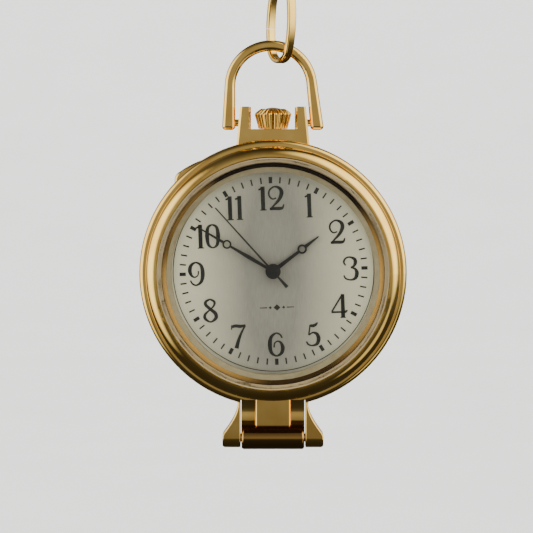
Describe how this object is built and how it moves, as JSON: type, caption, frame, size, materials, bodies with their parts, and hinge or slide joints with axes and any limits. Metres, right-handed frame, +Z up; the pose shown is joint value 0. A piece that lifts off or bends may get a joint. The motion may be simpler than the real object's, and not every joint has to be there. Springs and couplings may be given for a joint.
{
  "type": "fob watch",
  "caption": "Gold-plated quartz fob watch hung from a link, with a hinged bow, a pull-out crown and a reading lens that folds out behind the case.",
  "frame": {"origin": "inside top of the suspension link, where the watch hangs", "axes": "+X to the right of the dial seen from the front, +Y from the dial to the back, +Z up to twelve o'clock"},
  "size_m": [0.0379, 0.0117, 0.0671],
  "materials": {
    "polished_gold": "polished gold plate",
    "mineral_glass": "polished",
    "lens_glass": "polished",
    "ivory_seal": "smooth",
    "black_seal": "smooth",
    "cream_ring": "satin",
    "silver_dial": "satin, printed in black",
    "black_hand": "semi-gloss",
    "wheel_brass": "satin",
    "wheel_plastic": "moulded",
    "nickel_plate": "straight-grained",
    "steel": "polished",
    "hinge_steel": "polished",
    "copper_wire": "enamelled winding",
    "green_board": "lacquered",
    "black_resin": "moulded",
    "quartz_case": "drawn",
    "battery_steel": "brushed",
    "white_holder": "moulded"
  },
  "bodies": {
    "link": {"suspension_link": "polished_gold"},
    "bow": {"bow": "polished_gold", "bow_pins": "polished_gold"},
    "case": {"case_middle": "polished_gold", "bezel": "polished_gold", "crystal": "mineral_glass", "crystal_gasket": "ivory_seal", "rehaut_ring": "polished_gold", "dial_ring": "cream_ring", "case_back": "polished_gold", "back_gasket": "black_seal", "dial": "silver_dial", "main_plate": "nickel_plate", "train_bridge": "nickel_plate", "bridge_bushes": "wheel_brass", "bridge_screws": "steel", "stator": "steel", "coil_core": "steel", "coil_winding": "copper_wire", "circuit_board": "green_board", "driver_chip": "black_resin", "quartz_can": "quartz_case", "battery": "battery_steel", "battery_clamp": "nickel_plate", "clamp_screw": "steel", "movement_ring": "white_holder", "stem_tube": "polished_gold", "lever_post": "steel", "hinge_pin": "hinge_steel"},
    "lens": {"lens_frame": "polished_gold", "magnifier_lens": "lens_glass", "lens_ring": "polished_gold"},
    "clutch": {"sliding_pinion": "steel"},
    "crown": {"crown": "polished_gold", "crown_gasket": "black_seal", "stem": "steel"},
    "lever": {"setting_lever": "steel"},
    "seconds": {"seconds_hand": "black_hand", "seconds_wheel": "wheel_brass"},
    "minutes": {"minute_hand": "black_hand", "cannon_pinion": "wheel_brass", "centre_wheel": "wheel_brass"},
    "hours": {"hour_hand": "black_hand", "hour_wheel": "wheel_brass"},
    "third": {"third_wheel": "wheel_brass"},
    "intermediate": {"intermediate_wheel": "wheel_plastic"},
    "rotor": {"rotor": "wheel_plastic"},
    "minute_works": {"minute_wheel": "wheel_brass"},
    "setting": {"setting_wheel": "wheel_plastic"}
  },
  "joints": [
    {"name": "bow_swing", "type": "hinge", "parent": "link", "child": "bow", "pos_m": [-0.00165, 0.00057, -0.01401], "axis": [0, 1, 0], "range_deg": [-18, 27]},
    {"name": "bow_hinge", "type": "hinge", "parent": "bow", "child": "case", "pos_m": [-0.00135, 0.00057, -0.01918], "axis": [1, 0, 0], "range_deg": [-90, 90]},
    {"name": "lens_hinge", "type": "hinge", "parent": "case", "child": "lens", "pos_m": [-0.00135, 0.00247, -0.06468], "axis": [-1, 0, 0], "range_deg": [0, 180]},
    {"name": "crown_turn", "type": "hinge", "parent": "case", "child": "clutch", "pos_m": [-0.00135, 0.00057, -0.03258], "axis": [0, 0, 1], "continuous": true},
    {"name": "crown_pull", "type": "slide", "parent": "clutch", "child": "crown", "axis": [0, 0, 1], "range_m": [0, 0.001]},
    {"name": "lever_turn", "type": "hinge", "parent": "case", "child": "lever", "pos_m": [0.00085, -0.00013, -0.02998], "axis": [0, 1, 0], "range_deg": [0, 25.8]},
    {"name": "seconds_turn", "type": "hinge", "parent": "case", "child": "seconds", "pos_m": [-0.00135, -0.00013, -0.04028], "axis": [0, 1, 0], "continuous": true},
    {"name": "minute_turn", "type": "hinge", "parent": "case", "child": "minutes", "pos_m": [-0.00135, -0.00013, -0.04028], "axis": [0, 1, 0], "continuous": true},
    {"name": "hour_turn", "type": "hinge", "parent": "case", "child": "hours", "pos_m": [-0.00135, -0.00013, -0.04028], "axis": [0, 1, 0], "continuous": true},
    {"name": "third_turn", "type": "hinge", "parent": "case", "child": "third", "pos_m": [-0.00406, -0.00013, -0.03929], "axis": [0, 1, 0], "continuous": true},
    {"name": "intermediate_turn", "type": "hinge", "parent": "case", "child": "intermediate", "pos_m": [0.00136, -0.00013, -0.04126], "axis": [0, 1, 0], "continuous": true},
    {"name": "rotor_turn", "type": "hinge", "parent": "case", "child": "rotor", "pos_m": [0.0037, -0.00013, -0.04167], "axis": [0, 1, 0], "continuous": true},
    {"name": "minute_works_turn", "type": "hinge", "parent": "case", "child": "minute_works", "pos_m": [-0.00073, -0.00013, -0.03796], "axis": [0, 1, 0], "continuous": true},
    {"name": "setting_wheel_turn", "type": "hinge", "parent": "case", "child": "setting", "pos_m": [-0.00073, -0.00013, -0.03516], "axis": [0, 1, 0], "continuous": true}
  ],
  "couplings": [
    {"joint": "minute_turn", "follows": "seconds_turn", "ratio": 0.016667},
    {"joint": "hour_turn", "follows": "seconds_turn", "ratio": 0.0013889},
    {"joint": "third_turn", "follows": "seconds_turn", "ratio": -0.13333},
    {"joint": "intermediate_turn", "follows": "seconds_turn", "ratio": -5},
    {"joint": "rotor_turn", "follows": "seconds_turn", "ratio": 30},
    {"joint": "minute_works_turn", "follows": "seconds_turn", "ratio": -0.0055556},
    {"joint": "setting_wheel_turn", "follows": "seconds_turn", "ratio": 0.01},
    {"joint": "lever_turn", "follows": "crown_pull", "rad_per_m": 446.95}
  ]
}
